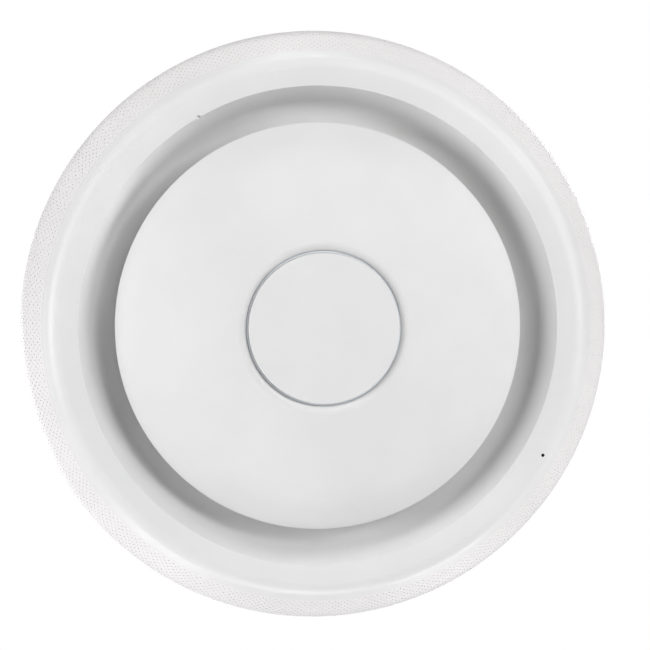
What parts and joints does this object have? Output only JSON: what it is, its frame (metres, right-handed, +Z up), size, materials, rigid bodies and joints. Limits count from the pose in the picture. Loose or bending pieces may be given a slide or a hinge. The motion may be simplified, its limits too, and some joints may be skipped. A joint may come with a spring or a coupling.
{
  "type": "ceiling access point",
  "caption": "Round ceiling wireless access point with a shallow dome, an open ring channel for its loudspeaker, a perforated side band and a twist-lock ceiling bracket.",
  "frame": {"origin": "centre of the bracket's ceiling face, on the axis of the round body", "axes": "+Z up into the ceiling along the body's axis, +X towards the right-hand network jack, +Y the way the jacks' mouths face"},
  "size_m": [0.2874, 0.2874, 0.1259],
  "materials": {
    "shell_white": "fine satin texture, moulded",
    "ring_white": "fine satin texture, moulded",
    "dome_white": "smooth satin, moulded",
    "cap_white": "smooth satin, moulded",
    "grille_white": "satin, perforated",
    "cloth_white": "fine acoustic cloth",
    "baffle_grey": "satin, moulded",
    "inner_plastic": "matt, moulded",
    "light_guide": "frosted clear guide",
    "bracket_steel": "zinc plated sheet",
    "screw_steel": "plated",
    "lever_plastic": "matt, moulded",
    "jack_metal": "tinned sheet",
    "board_green": "solder mask",
    "component_black": "matt",
    "capacitor_sleeve": "shrunk sleeve",
    "seal_rubber": "soft foam rubber",
    "aluminium_bare": "matt",
    "magnet_ferrite": "matt sintered ferrite",
    "motor_steel": "zinc plated",
    "basket_steel": "black powder coat",
    "cone_paper": "pressed paper",
    "edge_rubber": "soft",
    "spider_cloth": "resin-dipped cloth",
    "coil_copper": "enamelled wire on a former",
    "shield_tin": "tinned sheet",
    "antenna_steel": "tinned sheet",
    "pad_grey": "soft thermal pad",
    "led_package": "clear on white",
    "lead_black": "soft sleeve",
    "reset_white": "matt"
  },
  "bodies": {
    "bracket": {"ceiling_bracket": "bracket_steel"},
    "housing": {"lock_lever_pin": "screw_steel", "rear_housing": "shell_white", "housing_screws": "screw_steel", "port_tray": "inner_plastic", "tray_seal": "seal_rubber", "tray_screws": "screw_steel", "ethernet_jack_main": "jack_metal", "ethernet_jack_secondary": "jack_metal", "port_board": "board_green", "port_board_screws": "screw_steel", "poe_transformer": "component_black", "poe_capacitors": "capacitor_sleeve", "reset_switch": "component_black", "amplifier_board": "board_green", "amplifier_board_screws": "screw_steel", "amplifier_heat_sink": "aluminium_bare", "amplifier_capacitors": "capacitor_sleeve", "side_grille": "grille_white", "grille_cloth": "cloth_white", "front_ring": "ring_white", "ring_gasket": "seal_rubber", "speaker_baffle": "baffle_grey", "mic_boot": "seal_rubber", "mic_board": "board_green", "microphone": "shield_tin", "speaker_yoke": "motor_steel", "speaker_magnet": "magnet_ferrite", "speaker_top_plate": "motor_steel", "speaker_basket": "basket_steel", "speaker_gasket": "seal_rubber", "speaker_screws": "screw_steel", "speaker_terminals": "component_black", "speaker_surround": "edge_rubber", "spider": "spider_cloth", "dome_cover": "dome_white", "dome_backplate": "inner_plastic", "dome_cover_screws": "screw_steel", "dome_pillars": "inner_plastic", "dome_screws": "screw_steel", "heat_spreader": "aluminium_bare", "thermal_pad": "pad_grey", "main_board": "board_green", "main_board_screws": "screw_steel", "rf_shields": "shield_tin", "antennas_low_band": "antenna_steel", "antennas_high_band": "antenna_steel", "led_carrier": "inner_plastic", "led_board": "board_green", "led_chips": "led_package", "led_light_ring": "light_guide", "center_cap": "cap_white", "speaker_leads": "lead_black", "link_cable": "lead_black"},
    "lock_lever": {"lock_lever": "lever_plastic"},
    "reset_button": {"reset_button": "reset_white"},
    "speaker_cone": {"voice_coil": "coil_copper", "speaker_cone": "cone_paper", "dust_cap": "cone_paper"}
  },
  "joints": [
    {"name": "twist_lock", "type": "hinge", "parent": "bracket", "child": "housing", "pos_m": [0, 0, 0], "axis": [0, 0, 1], "range_deg": [-18, 0]},
    {"name": "lever_release", "type": "hinge", "parent": "housing", "child": "lock_lever", "pos_m": [0.015, -0.0615, -0.0055], "axis": [0, 0, 1], "range_deg": [0, 9], "stiffness_Nm_per_rad": 0.02},
    {"name": "reset_press", "type": "slide", "parent": "housing", "child": "reset_button", "axis": [0, -1, 0], "range_m": [0, 0.0005], "stiffness_N_per_m": 1000},
    {"name": "cone_travel", "type": "slide", "parent": "housing", "child": "speaker_cone", "axis": [0, 0, -1], "range_m": [-0.0025, 0.0025], "stiffness_N_per_m": 1500, "deforming": ["speaker_surround", "spider"]}
  ],
  "couplings": [
    {"joint": "lever_release", "follows": "twist_lock", "ratio": -0.5}
  ]
}
